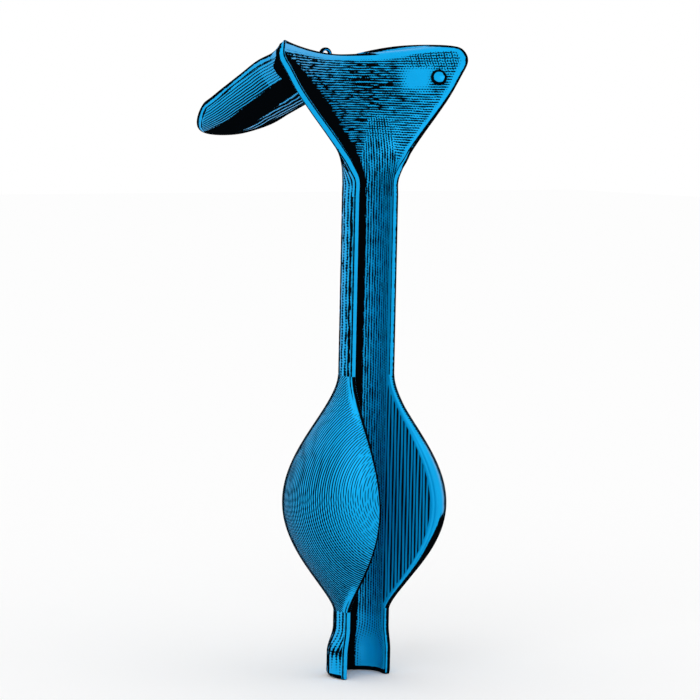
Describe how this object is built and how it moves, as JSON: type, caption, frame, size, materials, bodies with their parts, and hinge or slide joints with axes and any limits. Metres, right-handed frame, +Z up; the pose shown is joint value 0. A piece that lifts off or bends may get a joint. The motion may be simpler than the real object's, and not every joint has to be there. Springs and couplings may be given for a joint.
{
  "type": "vaginal speculum",
  "caption": "Weighted vaginal speculum: half-round gutter blade, winged saddle flange, long drain trough as its handle and a slotted ball weight round the lower end.",
  "frame": {"origin": "crest of the saddle on the centre plane, where the blade's floor rolls over into the trough", "axes": "+Z up along the trough, the trough opens to -Y, the blade reaches back to +Y, +X to the right seen from the open side"},
  "size_m": [0.0926, 0.121, 0.2401],
  "materials": {
    "sheet_metal": "blue lacquer over finely brushed metal, polished along the rims",
    "weight_skin": "blue lacquer over turned and brushed metal",
    "fittings": "blue lacquer over polished metal",
    "lead": "dull grey cast lead, as cast"
  },
  "bodies": {
    "root": {"blade": "sheet_metal", "saddle_flange": "sheet_metal", "trough": "sheet_metal", "tail_spout": "sheet_metal", "weight_shell_left": "weight_skin", "weight_shell_right": "weight_skin", "slot_cheek_left": "weight_skin", "slot_cheek_right": "weight_skin", "lead_core": "lead", "filler_plug": "fittings", "wing_rivet": "fittings", "tie_loop": "fittings"}
  },
  "joints": []
}
